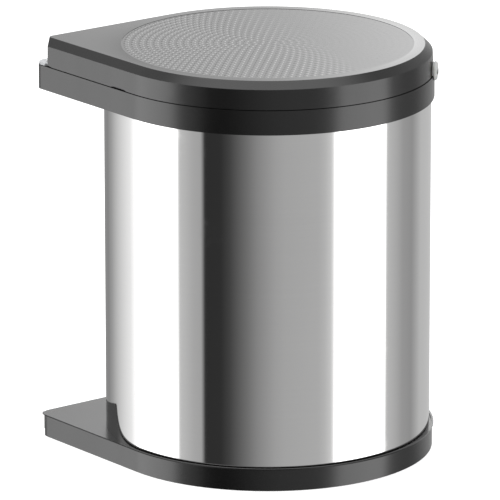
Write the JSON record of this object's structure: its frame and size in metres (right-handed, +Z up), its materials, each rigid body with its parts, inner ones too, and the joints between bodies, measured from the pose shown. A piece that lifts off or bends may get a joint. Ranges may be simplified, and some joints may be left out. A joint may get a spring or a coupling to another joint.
{
  "type": "swing-out built-in waste bin",
  "caption": "Round steel swing-out waste bin for a base cabinet, with a dark lid, ring and tray that share one square hinge corner.",
  "frame": {"origin": "on the drum's axis, level with the underside of the bottom tray", "axes": "+Z up along the drum's axis; -X towards the cabinet's side panel that the bracket screws to; -Y towards the cabinet's door; the hinge corner lies towards -X -Y"},
  "size_m": [0.2926, 0.2874, 0.3559],
  "materials": {
    "anthracite_plastic": "fine satin grain, with a field of small round dimples on the lid's panel",
    "polished_steel": "drum sheet polished to a near mirror",
    "bright_steel": "turned pins, rivets, screws and drawn wire",
    "zinc_sheet": "zinc plated sheet, slightly cloudy",
    "white_nylon": "moulded nylon, light satin",
    "grey_plastic": "moulded polypropylene bucket, fine grain"
  },
  "bodies": {
    "bracket": {"wall_plate": "zinc_sheet", "upper_arm": "zinc_sheet", "lower_arm": "zinc_sheet", "arm_rivets": "bright_steel", "upper_swing_pin": "bright_steel", "lower_swing_pin": "bright_steel", "lid_hinge_pin": "bright_steel"},
    "carrier": {"top_ring": "anthracite_plastic", "drum": "polished_steel", "bottom_tray": "anthracite_plastic", "drum_rivets": "bright_steel", "upper_bush": "white_nylon", "lower_bush": "white_nylon", "lifting_ramp": "white_nylon", "bucket": "grey_plastic"},
    "lid": {"lid_shell": "anthracite_plastic", "hinge_knuckle": "white_nylon", "knuckle_screws": "bright_steel", "roller_fork": "zinc_sheet", "fork_screws": "bright_steel", "fork_axle": "bright_steel", "guide_roller_pin": "bright_steel", "roller_spacer": "white_nylon"},
    "ramp_wheel": {"ramp_roller": "white_nylon"},
    "guide_wheel": {"guide_roller": "white_nylon"},
    "handle": {"bail": "bright_steel", "bail_grip": "anthracite_plastic"}
  },
  "joints": [
    {"name": "swing", "type": "hinge", "parent": "bracket", "child": "carrier", "pos_m": [-0.133, -0.133, 0], "axis": [0, 0, -1], "range_deg": [0, 90]},
    {"name": "lid_lift", "type": "hinge", "parent": "bracket", "child": "lid", "pos_m": [-0.12869, -0.12869, 0.3385], "axis": [0.7071, -0.7071, 0], "range_deg": [0, 12]},
    {"name": "ramp_wheel_turn", "type": "hinge", "parent": "lid", "child": "ramp_wheel", "pos_m": [-0.08253, -0.13168, 0.3372], "axis": [1, 0, 0], "continuous": true},
    {"name": "guide_wheel_turn", "type": "hinge", "parent": "lid", "child": "guide_wheel", "pos_m": [0.10253, 0.10253, 0.3356], "axis": [0.7071, 0.7071, 0], "continuous": true},
    {"name": "handle_raise", "type": "hinge", "parent": "carrier", "child": "handle", "pos_m": [0, 0, 0.3272], "axis": [0.7071, -0.7071, 0], "range_deg": [0, 8]}
  ],
  "couplings": [
    {"joint": "lid_lift", "follows": "swing", "ratio": 0.13333}
  ]
}
